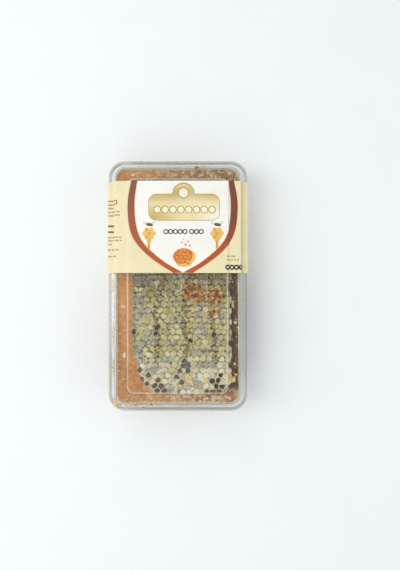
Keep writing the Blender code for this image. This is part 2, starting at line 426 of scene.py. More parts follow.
# Middles of the open cells in millimetres: with honey in them, drained and grey, and dark holes.
brown_cells = [
    (-31.3, -68.2), (-24.0, -72.3), (-16.0, -76.4), (-25.0, -80.4), (-19.0, -81.1),
    (-13.4, -81.8), (-28.0, -82.4), (-10.5, -85.6), (-17.0, -85.8), (-30.0, -76.4),
    (23.3, -86.6), (28.5, -86.6), (33.6, -86.4),
]
grey_cells = [
    (5.6, -61.5), (4.8, -65.3), (2.1, -69.7), (7.8, -69.2), (3.9, -75.3), (2.6, -79.0),
    (-0.5, -74.6), (9.0, -64.2),
]
dark_cells = [
    (35.9, -72.8), (28.3, -77.6), (33.5, -77.4), (31.0, -82.0), (36.2, -82.0),
    (-17.4, -38.8), (-16.4, -34.2), (10.4, -43.9), (29.1, -39.4), (-36.0, -36.8),
]
# Torn wet patches, and patches smeared with a grey film: middle, half sizes and lean.
torn_patches = [(12.6, -6.5, 8.0, 8.6, 0.5), (32.0, -8.6, 6.8, 7.4, 0), (29.8, -21.6, 4.8, 3.2, 0.3)]
grey_patches = [
    (18.0, -21.0, 2.2, 8.2, -0.42), (19.0, -37.6, 3.6, 7.0, -0.2), (-36.5, -30.0, 3.6, 36.0, 0),
    (-29.0, 6.0, 11.0, 5.5, 0), (-9.0, -84.0, 6.0, 4.5, 0), (-27.0, -22.0, 6.0, 4.0, 0.5),
    (-24.0, -44.0, 5.5, 4.0, 0), (37.0, -24.0, 3.0, 5.0, 0.4), (14.0, -80.0, 7.0, 4.0, 0),
    (-33.0, -54.0, 4.5, 10.0, 0), (-10.0, -60.0, 6.0, 3.0, 0), (20.0, -53.0, 9.0, 2.2, 0),
    (-6.0, -47.0, 7.0, 2.2, 0), (22.0, -64.0, 9.0, 3.0, 0), (0.0, -28.0, 7.0, 2.4, 0),
    (-30.0, -12.0, 4.0, 5.0, 0), (-20.0, -68.0, 7.0, 3.0, 0.2), (31.0, -46.0, 4.0, 3.0, 0),
]


def corner_gap(x, y):
    """How far a point is inside the slab's cut outline: roughly the distance, less than 0 outside."""
    to_side = min(x - comb_low.x, comb_high.x - x)
    to_end = min(y - comb_low.y, comb_high.y - y)
    if x < 0:
        reach = broken_corner if y < 0 else cut_corner
    else:
        reach = worn_corner if y < 0 else cut_corner
    if to_side < reach[0] and to_end < reach[1]:
        away = math.hypot(1 - to_side / reach[0], 1 - to_end / reach[1])
        return (1 - away) * reach[0]
    return min(to_side, to_end)


def eased(value, low, high):
    share = min(max((value - low) / (high - low), 0), 1)
    return share * share * (3 - 2 * share)


def patch_share(patches, x, y, ragged):
    """1 in the middle of any of the patches, falling to 0 at its ragged edge."""
    most = 0
    for mid_x, mid_y, half_x, half_y, lean in patches:
        from_x, from_y = x / MM - mid_x, y / MM - mid_y
        turned_x = from_x * math.cos(lean) + from_y * math.sin(lean)
        turned_y = from_y * math.cos(lean) - from_x * math.sin(lean)
        away = math.hypot(turned_x / half_x, turned_y / half_y)
        away += ragged * noise.noise((x * 300, y * 300, mid_x))
        most = max(most, 1 - eased(away, 0.75, 1.15))
    return most


def lay_cells():
    """Every cell of the slab, a little out of line, with the look that its cap has."""
    chance = random.Random(11)
    laid = []
    rows = int((comb_high.y - comb_low.y) / row_pitch) + 2
    columns = int((comb_high.x - comb_low.x) / cell) + 2
    for row in range(-1, rows):
        for column in range(-1, columns):
            x = comb_low.x + (column + 0.5 * (row % 2) + 0.2) * cell
            y = comb_low.y + (row + 0.4) * row_pitch
            x += 0.6 * MM * math.sin(y * 70) + chance.gauss(0, 0.28 * MM)
            y += 0.9 * MM * math.sin(x * 55 + 1) + chance.gauss(0, 0.28 * MM)
            ragged = 2.6 * MM * noise.noise((x * 150, y * 110, 1.5))
            grey = patch_share(grey_patches, x, y, 0.3)
            sunk_chance = 0.2 + 0.5 * grey + 0.5 * noise.noise((x * 50, y * 60, 9.0))
            laid.append(
                {
                    "x": x,
                    "y": y,
                    "kept": corner_gap(x, y) + ragged > 1.3 * MM,
                    "reach": chance.uniform(2.75, 3.2) * MM,
                    "lift": chance.uniform(-0.35, 0.2) * MM,
                    "tilt": (chance.uniform(-0.16, 0.16), chance.uniform(-0.16, 0.16)),
                    "tone": chance.random(),
                    "sunk": 1 if chance.random() < sunk_chance else 0,
                    "yellow": chance.random() ** 4,
                    "open": None,
                    "seed": chance.uniform(0, 50),
                }
            )
    return laid


def find_cells(laid):
    finder = kdtree.KDTree(len(laid))
    for index, item in enumerate(laid):
        finder.insert((item["x"], item["y"], 0), index)
    finder.balance()
    return finder


cells = lay_cells()
cell_finder = find_cells(cells)
for kind, spots in (("brown", brown_cells), ("grey", grey_cells), ("dark", dark_cells)):
    for spot_x, spot_y in spots:
        item = cells[cell_finder.find((spot_x * MM, spot_y * MM, 0))[1]]
        item.update(x=spot_x * MM, y=spot_y * MM, open=kind, kept=True)
cell_finder = find_cells(cells)

# The old brood tracks: lines down the slab where the caps are yellower, with pits between them.
tracks = [
    [(-12.0, 10), (-14.0, -8), (-18.3, -21), (-17.0, -38), (-17, -60), (-18, -90)],
    [(9.0, 10), (5.0, -16), (6.8, -26), (3.6, -33), (8.5, -44), (6.0, -56), (5, -90)],
    [(27.5, 10), (28.0, -28), (29.2, -40), (30.0, -52), (31, -90)],
]


def track_share(x, y):
    """1 on a track, falling to 0 a few millimetres from it, and fading down the slab."""
    most = 0
    for track in tracks:
        for (x0, y0), (x1, y1) in zip(track, track[1:]):
            if y1 <= y / MM <= y0:
                middle = x0 + (x1 - x0) * (y / MM - y0) / (y1 - y0)
                most = max(most, 1 - eased(abs(x / MM - middle), 1.2, 3.8))
    return most * eased(y, -0.078, -0.05)


def comb_point(x, y):
    """Height of the slab at a point, and what its wax looks like there."""
    ragged = 1 - 0.75 * eased(-y, 0.06, 0.072)
    warp_x = noise.noise((x * 420, y * 420, 21.0)) + 1.1 * noise.noise((x * 170, y * 170, 31.0))
    warp_y = noise.noise((x * 420, y * 420, 25.0)) + 1.1 * noise.noise((x * 170, y * 170, 35.0))
    warped = (x + 0.9 * MM * ragged * warp_x, y + 0.9 * MM * ragged * warp_y, 0)
    (_, here, near), (_, other, far), (_, last, third) = cell_finder.find_n(warped, 3)
    item, beside, beyond = cells[here], cells[other], cells[last]
    apart = math.hypot(beside["x"] - item["x"], beside["y"] - item["y"])
    between_rows = 0.6 + 0.4 * eased(abs(beside["y"] - item["y"]) / apart, 0.2, 0.8)
    to_wall = (far - near) / 2
    to_pit = (third - near) / 2
    swell = 0.55 * MM * noise.noise((x * 28, y * 22, 0.0))
    gap = corner_gap(x, y) + 0.5 * MM * noise.noise((x * 260, y * 260, 4.4))
    cut_side = gap < 0.7 * MM if x < 0 else not item["kept"]
    fine = noise.noise((x * 900, y * 900, 2.0))
    medium = noise.noise((x * 380, y * 380, 5.0))
    track = track_share(x, y)
    look = {
        "tone": item["tone"],
        "yellow": min(1, item["yellow"] + 0.75 * track * (0.6 + 0.8 * medium)),
        "gold": (1 - eased(gap, 0.7 * MM, 2.2 * MM)) if x < -0.02 else 0,
        "film": patch_share(grey_patches, x, y, 0.45),
        "track": track,
    }
    if cut_side:
        slope = eased(-gap, -0.7 * MM, 0.2 * MM) if x < 0 else eased(to_wall, 0, 0.6 * MM)
        if x > 0 and not beside["kept"]:
            slope = 1
        # Painted shadow along the right cut side, carried by the pit value.
        look["pit"] = 0.7 if x > 0 else 0
        return crown_z - 0.8 * MM - slope * (crown_z - under_honey - 0.8 * MM), look

    # The pits between three caps: each has its own depth, and many are nearly closed by wax.
    pit_x = (item["x"] + beside["x"] + beyond["x"]) / 3
    pit_y = (item["y"] + beside["y"] + beyond["y"]) / 3
    chance = noise.noise((pit_x * 830, pit_y * 830, 3.3)) + 0.9 * track
    chance += 0.35 * eased(pit_y, -0.02, 0.008) - 0.25 * eased(-pit_y, 0.055, 0.075)
    depth = eased(chance, -0.25, 0.55)
    pit = (1 - eased(to_pit, 0.1 * MM, 0.85 * MM)) * (0.25 + 0.75 * depth)
    seam = (1 - eased(to_wall, 0, 0.6 * MM)) * (0.34 + 0.4 * medium) * between_rows

    gap = eased(near / item["reach"], 0.5, 0.95) * between_rows
    look["gap"] = min(1, max(0, gap * (0.85 + 2.2 * noise.noise((x * 240, y * 240, 8.0)))))
    share = near / item["reach"]
    dome = max(0, 1 - share**2.2) ** 0.5
    lean = item["tilt"][0] * (x - item["x"]) + item["tilt"][1] * (y - item["y"])
    z = crown_z + swell + item["lift"] + lean - (1 - dome) * 0.85 * MM * between_rows
    z += 0.1 * MM * fine + 0.2 * MM * medium - pit * 0.9 * MM - seam * 0.3 * MM
    if item["sunk"]:
        dish = 1 - eased(near, 0.9 * MM, 2.0 * MM)
        z -= dish * 0.6 * MM + 0.1 * MM
        # The dish value sets how much painted shade the sunk cap's hollow gets.
        look["dish"] = dish * (0.55 + 0.9 * noise.noise((x * 500, y * 500, item["seed"])))
    z -= 0.35 * MM * look["film"]
    # The pit value carries painted shade, more where tracks meet gaps.
    look["pit"] = max(pit, seam) + 0.4 * track * look["gap"]

    torn = patch_share(torn_patches, x, y, 0.75)
    if torn > 0:
        crag = noise.noise((x * 300, y * 300, 4.0)) + 0.3 * fine
        z += torn * (0.7 * MM * crag - 0.5 * MM)
        look["torn"] = torn
        # Torn wax darker towards the gaps between caps: painted shade.
        look["crag"] = 0.5 + 0.7 * crag - 0.3 * look["gap"]
    if item["open"]:
        wall = {"brown": 0.2, "grey": 0.02, "dark": 0.3}[item["open"]] * MM
        within = min(to_wall - wall, 2.65 * MM - near)
        inside = eased(within, 0, 0.35 * MM)
        floor_drop = {"brown": 1.0, "grey": 1.3, "dark": 2.6}[item["open"]] * MM
        rim_z = crown_z + swell - 0.35 * MM + 0.1 * MM * fine
        z = rim_z - inside * floor_drop
        look[item["open"]] = eased(within, 0, 0.25 * MM)
        look["pit"] = look["gap"] = 0
        look["rim"] = 1 - look[item["open"]]
    return z, look


look_names = (
    "tone", "yellow", "gold", "film", "track", "gap", "pit", "dish", "torn", "crag", "rim",
    "brown", "grey", "dark",
)


def make_comb_mesh():
    """A fine lattice over the slab, raised to the caps, with straight cut sides down to its foot."""
    step = cell / 10
    rows = int((comb_high.y - comb_low.y) / (step * math.sqrt(3) / 2)) + 1
    columns = int((comb_high.x - comb_low.x) / step) + 1
    bm = bmesh.new()
    layers = {name: bm.verts.layers.float.new(name) for name in look_names}
    lattice = {}
    for row in range(rows):
        y = comb_low.y + row * step * math.sqrt(3) / 2
        for column in range(columns):
            x = comb_low.x + (column + 0.5 * (row % 2)) * step
            if x > comb_high.x or corner_gap(x, y) < -0.01 * MM:
                continue
            z, look = comb_point(x, y)
            vert = bm.verts.new((x, y, min(z, comb_high.z)))
            for name, value in look.items():
                vert[layers[name]] = value
            lattice[row, column] = vert
    for row, column in list(lattice):
        shift = row % 2
        for corners in (
            ((row, column), (row, column + 1), (row + 1, column + shift)),
            ((row, column), (row + 1, column + shift), (row + 1, column + shift - 1)),
        ):
            if all(corner in lattice for corner in corners):
                bm.faces.new([lattice[corner] for corner in corners])
    bmesh.ops.delete(bm, geom=[v for v in bm.verts if not v.link_faces], context="VERTS")
    rim = [edge for edge in bm.edges if edge.is_boundary]
    dropped = bmesh.ops.extrude_edge_only(bm, edges=rim)["geom"]
    for vert in dropped:
        if isinstance(vert, bmesh.types.BMVert):
            vert.co.z = comb_low.z
    bmesh.ops.holes_fill(bm, edges=[e for e in bm.edges if e.is_boundary], sides=0)
    bmesh.ops.recalc_face_normals(bm, faces=list(bm.faces))
    mesh = bpy.data.meshes.new("honeycomb_slab")
    bm.to_mesh(mesh)
    bm.free()
    return mesh


wax, tree = blank_material("capped comb wax")
mottle = speckle(tree, 620, 4)
patchy = speckle(tree, 150, 3)
broad = speckle(tree, 45, 2)
along = position(tree, "Y")
cap = mixed(tree, attribute(tree, "tone"), tint(190, 180, 124), tint(230, 221, 168))
paler = mixed(tree, attribute(tree, "tone"), tint(230, 224, 194), tint(248, 244, 222))
low_end = ranged(tree, maths(tree, "ADD", along, ranged(tree, broad, 0, 1, -0.02, 0.02)), -0.05, -0.075)
colour = mixed(tree, low_end, cap, paler)
colour = mixed(tree, ranged(tree, patchy, 0.42, 0.66, 0, 0.5), colour, tint(196, 180, 148))
colour = mixed(tree, attribute(tree, "yellow"), colour, tint(188, 166, 78))
# Painted shade in the sunk caps' hollows: darker grey towards their middles.
colour = mixed(
    tree,
    ranged(tree, attribute(tree, "dish"), 0, 1, 0, 0.8),
    colour,
    mixed(tree, patchy, tint(128, 124, 96), tint(160, 154, 132)),
)
grey_wax = mixed(tree, ranged(tree, mottle, 0.36, 0.62), tint(138, 138, 128), tint(186, 184, 174))
colour = mixed(tree, ranged(tree, attribute(tree, "film"), 0, 1, 0, 0.85), colour, grey_wax)
colour = mixed(tree, ranged(tree, mottle, 0.52, 0.7, 0, 0.6), colour, tint(234, 228, 190))
shadowed = maths(tree, "MULTIPLY", attribute(tree, "track"), ranged(tree, mottle, 0.62, 0.38))
colour = mixed(tree, ranged(tree, shadowed, 0.1, 0.8, 0, 0.75), colour, tint(98, 84, 40))
colour = mixed(tree, ranged(tree, mottle, 0.46, 0.3, 0, 0.36), colour, tint(116, 106, 72))
# Painted shade between the caps: the wax darkened towards the gaps, less at the low end.
painted_gap_shade = mixed(tree, ranged(tree, patchy, 0.36, 0.62), tint(122, 114, 82), tint(152, 148, 124))
painted_gap_shade = mixed(tree, low_end, painted_gap_shade, tint(178, 173, 152))
colour = mixed(tree, ranged(tree, attribute(tree, "gap"), 0.05, 0.85, 0, 0.9), colour, painted_gap_shade)
# Painted shade in the pits between caps, in the seams and along the right cut side: darker, and near black
# where deepest.
colour = mixed(tree, ranged(tree, attribute(tree, "pit"), 0.1, 0.7, 0, 0.8), colour, tint(104, 90, 50))
colour = mixed(tree, ranged(tree, attribute(tree, "pit"), 0.55, 1.0, 0, 0.9), colour, tint(44, 36, 16))
# Painted shadow of the paper band: the comb darker towards the band's near edge.
label_shadow_band = maths(tree, "ADD", along, ranged(tree, patchy, 0.3, 0.7, -0.012, 0.012))
colour = mixed(tree, ranged(tree, label_shadow_band, -0.016, 0.006, 0, 0.52), colour, tint(92, 82, 50))
colour = mixed(tree, ranged(tree, attribute(tree, "gold"), 0, 1, 0, 0.85), colour, tint(206, 150, 62))
crag = maths(tree, "ADD", attribute(tree, "crag"), ranged(tree, mottle, 0.3, 0.7, -0.2, 0.2))
amber = mixed(tree, ranged(tree, crag, 0.1, 0.5), tint(92, 46, 8), tint(178, 110, 24))
amber = mixed(tree, ranged(tree, crag, 0.5, 0.95), amber, tint(224, 182, 86))
colour = mixed(tree, ranged(tree, attribute(tree, "torn"), 0, 1, 0, 0.94), colour, amber)
colour = mixed(tree, ranged(tree, attribute(tree, "rim"), 0, 1, 0, 0.5), colour, tint(204, 192, 164))
brown_pool = mixed(tree, ranged(tree, mottle, 0.35, 0.65), tint(92, 64, 56), tint(128, 98, 88))
grey_pool = mixed(tree, ranged(tree, mottle, 0.35, 0.65), tint(70, 68, 70), tint(112, 110, 108))
dark_pool = mixed(tree, ranged(tree, mottle, 0.35, 0.65), tint(50, 42, 36), tint(84, 72, 66))
for name, pool in (("brown", brown_pool), ("grey", grey_pool), ("dark", dark_pool)):
    colour = mixed(tree, attribute(tree, name), colour, pool)
wet = maths(tree, "ADD", attribute(tree, "torn"), attribute(tree, "brown"))
wax_inputs = {
    "Base Color": colour,
    "Roughness": ranged(tree, wet, 0, 1, 0.5, 0.15),
    "Subsurface Weight": 0.1,
    "Subsurface Radius": (1.0, 0.7, 0.35),
    "Subsurface Scale": 0.0015,
    "Normal": add(
        tree, "ShaderNodeBump", {"Height": mottle, "Strength": 0.35, "Distance": 0.0005}
    ).outputs[0],
}
wax_shader = add(tree, "ShaderNodeBsdfPrincipled", wax_inputs)
add(tree, "ShaderNodeOutputMaterial", {"Surface": wax_shader.outputs[0]})

comb_mesh = make_comb_mesh()
comb_mesh.materials.append(wax)
comb_mesh.shade_smooth()
settle(bpy.data.objects.new("honeycomb_slab", comb_mesh), "honeycomb")


# --- Loose wax and honey ----------------------------------------------------------------------
# Crumbs of wax that fell in when the slab was cut, on the honey and squeezed at the tray's rim,
# with smears of honey beside them. They are pressed flat or lumpy, and lie where they landed.


def blob(x, y, z, half_x, half_y, rise, seed, around=14, steps=4):
    """A flat-bottomed lump with an uneven outline, as (points, faces)."""
    rings = []
    for step in range(steps):
        share = step / (steps - 1)
        out, up = math.cos(share * math.pi * 0.45), math.sin(share * math.pi / 2)
        ring = []
        for i in range(around):
            angle = 2 * math.pi * i / around
            cos, sin = math.cos(angle), math.sin(angle)
            ragged = 1 + 0.42 * noise.noise((cos * 1.4, sin * 1.4, seed))
            ragged += 0.2 * noise.noise((cos * 3, sin * 3, seed + share))
            lump = 1 + 0.35 * noise.noise((cos * 2 * out, sin * 2 * out, seed + 5))
            ring.append(
                (
                    x + half_x * cos * out * ragged,
                    y + half_y * sin * out * ragged,
                    z + rise * up * (lump if share else 1),
                )
            )
        rings.append(ring)
    rings.insert(0, [(px, py, z - 0.1 * MM) for px, py, _ in rings[0]])
    return loft(rings)


def joined(blobs):
    verts, faces = [], []
    for blob_verts, blob_faces in blobs:
        faces += [tuple(i + len(verts) for i in face) for face in blob_faces]
        verts += blob_verts
    return verts, faces


def moist(name, low, high, roughness):
    """A soft moist material that wavers between two colours."""
    material, tree = blank_material(name)
    spots = speckle(tree, 620, 3)
    inputs = {
        "Base Color": mixed(tree, ranged(tree, spots, 0.36, 0.62), low, high),
        "Roughness": ranged(tree, spots, 0.3, 0.7, *roughness),
        "Normal": add(
            tree, "ShaderNodeBump", {"Height": spots, "Strength": 0.25, "Distance": 0.0003}
        ).outputs[0],
    }
    shader = add(tree, "ShaderNodeBsdfPrincipled", inputs)
    add(tree, "ShaderNodeOutputMaterial", {"Surface": shader.outputs[0]})
    return material


pale_wax = moist("pale loose wax", tint(206, 180, 130), tint(244, 236, 212), (0.35, 0.5))
yellow_wax = moist("yellow loose wax", tint(206, 168, 92), tint(240, 220, 158), (0.35, 0.5))
amber_honey = moist("amber honey", tint(150, 78, 26), tint(218, 140, 58), (0.14, 0.3))

chance = random.Random(4)
flecks = []
low_honey = honey_level - creep
for i in range(230):
    side = chance.choice(("left", "left", "right", "near", "near", "far"))
    spread = abs(chance.gauss(0, 2.6)) * MM
    if side in ("left", "right"):
        reach = lid_high.x - wall_inset(honey_level) - 0.8 * MM - spread
        x, y = (-reach if side == "left" else reach), chance.uniform(-0.09, 0.09)
    else:
        reach = lid_high.y - wall_inset(honey_level) - 0.8 * MM - spread
        x, y = chance.uniform(-0.045, 0.045), (-reach if side == "near" else reach)
    size = chance.choice((0.22, 0.3, 0.3, 0.4, 0.55, 0.8)) * MM
    z = low_honey + 0.3 * MM if spread < 1.2 * MM else low_honey - 0.05 * MM
    stretch = chance.uniform(0.7, 1.4)
    flecks.append(blob(x, y, z, size * stretch, size / stretch, 0.35 * MM, i * 1.7, 8, 3))
for x, y, half_x, half_y in (
    (-45.2, -17.0, 2.0, 1.6), (-44.0, -57.0, 1.6, 2.3), (45.0, -15, 1.1, 3.0), (47.0, -30, 1.4, 1.6),
    (46.6, -64, 1.2, 1.2), (24, -92.5, 1.6, 1.0), (19.5, 91.3, 2.2, 1.2), (-37, 91.5, 2.0, 1.5),
):
    flecks.append(blob(x * MM, y * MM, low_honey, half_x * MM, half_y * MM, 0.7 * MM, x, 16, 4))
new_piece("wax_flecks", *joined(flecks), pale_wax, "beeswax")

chunks = [
    (42.0, -74.6, 3.4, 2.6, 2.6), (45.2, -76.2, 2.6, 2.4, 2.2), (39.0, -73.4, 2.4, 2.0, 2.4),
    (43.0, -77.8, 2.2, 1.8, 1.8), (47.6, -72.6, 1.4, 1.2, 1.6),
    (8.6, -74.6, 3.0, 3.6, 1.0), (11.0, -79.6, 2.2, 2.0, 0.9), (22.5, -77.5, 2.6, 2.4, 0.7),
]
chunk_blobs = []
for i, (x, y, half_x, half_y, rise) in enumerate(chunks):
    foot_z = comb_high.z - (1.5 + 1.2 * (i < 5)) * MM - max(0, rise - 2.2) * MM
    size = (half_x * MM, half_y * MM, rise * MM)
    chunk_blobs.append(blob(x * MM, y * MM, foot_z, *size, 3.1 * i, 22, 6))
new_piece("wax_chunks", *joined(chunk_blobs), yellow_wax, "beeswax")

# What was squeezed between the tray's flange and the lid stays under the gap between them.
rim_z = flange_z + 0.04 * MM
rim_gap = 0.2 * MM
pale_smears = [
    blob(x * MM, y * MM, rim_z, half_x * MM, half_y * MM, rim_gap, x + y, 20, 4)
    for x, y, half_x, half_y in (
        (-24.0, -97.2, 6.0, 1.5), (-35.0, -97.6, 4.6, 1.3), (-14.5, -97.9, 3.4, 1.0),
        (20.6, 97.0, 2.6, 1.6),
        (6, -97.8, 9.0, 0.9), (-53.0, -40, 0.9, 9.0), (-53.2, 0, 0.8, 6.0), (-52.8, -66, 0.9, 7.0),
    )
]
new_piece("rim_wax_smears", *joined(pale_smears), pale_wax, "beeswax")
gold_smears = [
    blob(x * MM, y * MM, rim_z, half_x * MM, half_y * MM, rim_gap, x + y, 20, 4)
    for x, y, half_x, half_y in (
        (-51.4, -94.6, 1.7, 3.6), (-49.0, -97.2, 3.2, 1.4), (-40.5, -98.6, 2.6, 0.8),
    )
]
new_piece("rim_gold_smears", *joined(gold_smears), yellow_wax, "beeswax")
amber_smears = [
    blob(x * MM, y * MM, rim_z + 0.03 * MM, half_x * MM, half_y * MM, rim_gap, x, 14, 4)
    for x, y, half_x, half_y in ((-21.8, -97.0, 1.3, 1.2), (15.4, 97.0, 2.0, 1.6), (-28.4, -99.2, 1.0, 0.5))
]
new_piece("rim_honey_smears", *joined(amber_smears), amber_honey, "honey")


# --- Lid --------------------------------------------------------------------------------------
# The clear lid, drawn from the same sheet: a skirt over the tray's lip, a flat shoulder, a low
# dome over the comb and a raised panel to stiffen it. A ring stands where it was gated.

shoulder = 5.2 * MM
dome_lean = 0.3 * MM
dome_corner = 9 * MM
panel_side, panel_end = 15.8 * MM, 15.3 * MM
panel_corner = 5 * MM
ramp = 0.8 * MM
panel_rise = 1.2 * MM
shoulder_z = lid_high.z - 6.8 * MM
flat_z = lid_high.z - panel_rise
edge_round = 0.8 * MM


def lid_side(depth):
    """Stations of the lid's skin at a depth inside its outer face, from the skirt to the panel."""
    top = shoulder + dome_lean
    side, end = panel_side + depth / 2, panel_end + depth / 2
    # Each station's fifth number is the painted light where the lid turns: painted highlight at the skirt,
    # shoulder and panel edges, painted shade at the foot of the panel's ramp.
    return [
        (depth, depth, lid_low.z, lid_corner - depth, 0.3, 0.25 * MM),
        (depth, depth, shoulder_z - depth, lid_corner - depth, 0.2, edge_round),
        (shoulder + depth, shoulder + depth, shoulder_z - depth, dome_corner - depth, 0.5, edge_round),
        (top + depth, top + depth, flat_z - depth, dome_corner - depth, 0.15, edge_round),
        (side - ramp, end - ramp, flat_z - depth, panel_corner + ramp, -0.6, 0.45 * MM),
        (side, end, lid_high.z - depth, panel_corner, 0.7, 0.6 * MM),
        (side + 3 * MM, end + 3 * MM, lid_high.z - depth, panel_corner - 2 * MM, 0, 0),
    ]


lid_plastic = clear_plastic("clear lid plastic", haze=0.006)
clear_shell("clear_lid", lid_side(sheet)[::-1] + lid_side(0), lid_plastic, "lid")

gate_middle = Vector((0.4 * MM, -0.8 * MM, lid_high.z - 0.28 * MM))
bpy.ops.mesh.primitive_torus_add(
    major_radius=3.1 * MM,
    minor_radius=0.55 * MM,
    major_segments=64,
    minor_segments=12,
    location=gate_middle,
    rotation=(math.radians(3), math.radians(3), 0),  # so that one side stands proud of the lid
)
gate_ring = bpy.context.object
gate_ring.name = "lid_gate_ring"
gate_ring.data.materials.append(lid_plastic)
gate_ring.data.shade_smooth()
# Painted highlight: a crescent of milky white on the ring's one side, fading to clear on the other.
painted_crescent = [0.5 + (v.co.x - v.co.y) / (4.4 * MM) for v in gate_ring.data.vertices]
gate_ring.data.transform(gate_ring.matrix_basis)
gate_ring.matrix_basis = Matrix.Identity(4)
give_values(gate_ring, "painted_bend_light", [min(max(share, 0), 1) for share in painted_crescent])
settle(gate_ring)


# --- Paper band -------------------------------------------------------------------------------
# A band of coated cream paper laid over the lid and stuck down both walls of the tray. It follows
# the lid's steps with soft folds, and stands a little off the skirt.

label_low, label_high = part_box("label")
paper = 0.2 * MM
paper_off = 0.1 * MM
paper_bend = 1.2 * MM


def wall_x(z):
    """Where the tray's wall is on its outer side at a height."""
    return lid_high.x - wall_inset(z) + sheet


def band_section():
    """The band's line from its edge on one wall, over the lid, to the other, as (x, z)."""
    edge = label_high.x - 0.45 * MM
    dome = lid_high.x - shoulder
    panel = lid_high.x - panel_side
    leaves, meets = lid_low.z - 0.5 * MM, 21 * MM
    half = [
        (wall_x(label_low.z), label_low.z, 0),
        (wall_x(meets), meets, 3 * MM),
        (edge - 0.2 * MM, leaves, 2.5 * MM),
        (edge, shoulder_z, paper_bend),
        (dome, shoulder_z, paper_bend),
        (dome - dome_lean, flat_z, edge_round),
        (panel + ramp, flat_z, 0.5 * MM),
        (panel, lid_high.z, 0.5 * MM),
    ]
    corners = half + [(-x, z, rounding) for x, z, rounding in half[::-1]]
    line = []
    for i, (x, z, rounding) in enumerate(corners):
        here = Vector((x, z))
        if rounding == 0:
            line.append(here)
            continue
        before, after = Vector(corners[i - 1][:2]), Vector(corners[i + 1][:2])
        into = here.lerp(before, rounding / (here - before).length)
        out = here.lerp(after, rounding / (here - after).length)
        for step in range(6):
            share = step / 5
            line.append(into.lerp(here, share).lerp(here.lerp(out, share), share))
    return line


def evenly_filled(line, longest):
    """The line with points added, so that no stretch is longer than asked."""
    filled = [line[0]]
    for a, b in zip(line, line[1:]):
        pieces = max(1, math.ceil((b - a).length / longest))
        filled += [a.lerp(b, step / pieces) for step in range(1, pieces + 1)]
    return filled


band_line = evenly_filled(band_section(), 3 * MM)
band_along = [0.0]
for a, b in zip(band_line, band_line[1:]):
    band_along.append(band_along[-1] + (b - a).length)
band_half = band_along[-1] / 2
band_along = [band_half - along for along in band_along]  # + on the +X side, 0 in the middle
band_out = []
for i in range(len(band_line)):
    run = band_line[min(i + 1, len(band_line) - 1)] - band_line[max(i - 1, 0)]
    band_out.append(Vector((run.y, -run.x)).normalized())
band_length = label_high.y - label_low.y
band_rows = [label_low.y + band_length * row / 30 for row in range(31)]


def band_place(along, y, height):
    """Where a point of the band lies: along its line, across it, and above its underside."""
    i = 0
    while i < len(band_along) - 2 and band_along[i + 1] > along:
        i += 1
    share = (band_along[i] - along) / (band_along[i] - band_along[i + 1])
    share = min(max(share, 0), 1)
    at = band_line[i].lerp(band_line[i + 1], share)
    out = band_out[i].lerp(band_out[i + 1], share).normalized()
    crease = 0.5 + 0.5 * noise.noise((along * 60, y * 38, 2.2))
    off = paper_off + height - 0.08 * MM + 0.14 * MM * crease
    return (at.x + out.x * off, y, at.y + out.y * off)


def printed(name, ink, roughness=(0.32, 0.44)):
    """Coated, printed paper: satin, with a faint mottle in the ink.

    The ink is a colour, or a function that makes one in the material's tree.
    """
    material, tree = blank_material(name)
    fibres = speckle(tree, 900, 3)
    clouds = speckle(tree, 60, 2)
    colour = ink(tree) if callable(ink) else ink
    colour = mixed(tree, ranged(tree, clouds, 0.4, 0.7, 0, 0.04), colour, (0, 0, 0, 1))
    colour = mixed(tree, ranged(tree, fibres, 0.35, 0.65, 0, 0.05), colour, (0, 0, 0, 1))
    bump = add(tree, "ShaderNodeBump", {"Height": fibres, "Strength": 0.08, "Distance": 0.0002})
    inputs = {
        "Base Color": colour,
        "Roughness": ranged(tree, fibres, 0.3, 0.7, *roughness),
        "Coat Weight": 0.12,
        "Coat Roughness": 0.2,
        "Normal": bump.outputs[0],
    }
    shader = add(tree, "ShaderNodeBsdfPrincipled", inputs)
    add(tree, "ShaderNodeOutputMaterial", {"Surface": shader.outputs[0]})
    return material


def band_mesh():
    """The sheet itself: an upper and an under face, and the cut edge all round."""
    count, rows = len(band_along), len(band_rows)
    verts = [
        band_place(along, y, height)
        for height in (0, paper) for y in band_rows for along in band_along
    ]
    size = rows * count
    faces = []
    for row in range(rows - 1):
        for i in range(count - 1):
            a, b = row * count + i, row * count + i + 1
            c, d = b + count, a + count
            faces.append((a, b, c, d))
            faces.append((size + a, size + d, size + c, size + b))
    far = size - count
    for i in range(count - 1):
        faces.append((i, size + i, size + i + 1, i + 1))
        faces.append((far + i, far + i + 1, size + far + i + 1, size + far + i))
    for row in range(rows - 1):
        a, d = row * count, (row + 1) * count
        b, c = a + count - 1, d + count - 1
        faces.append((a, d, size + d, size + a))
        faces.append((b, size + b, size + c, c))
    return verts, faces


cream_paper = printed("cream stock", tint(240, 230, 186))
new_piece("paper_band", *band_mesh(), cream_paper, "print", "label")


# --- Print ------------------------------------------------------------------------------------
# The band's print, laid on as thin fields of ink: a white shield between two brown bands, a gold
# plaque, small honey motifs, and rows of plain marks where wording would be.

ink_step = 0.02 * MM
art_x = 4.4 * MM  # the art sits a little to one side of the lid


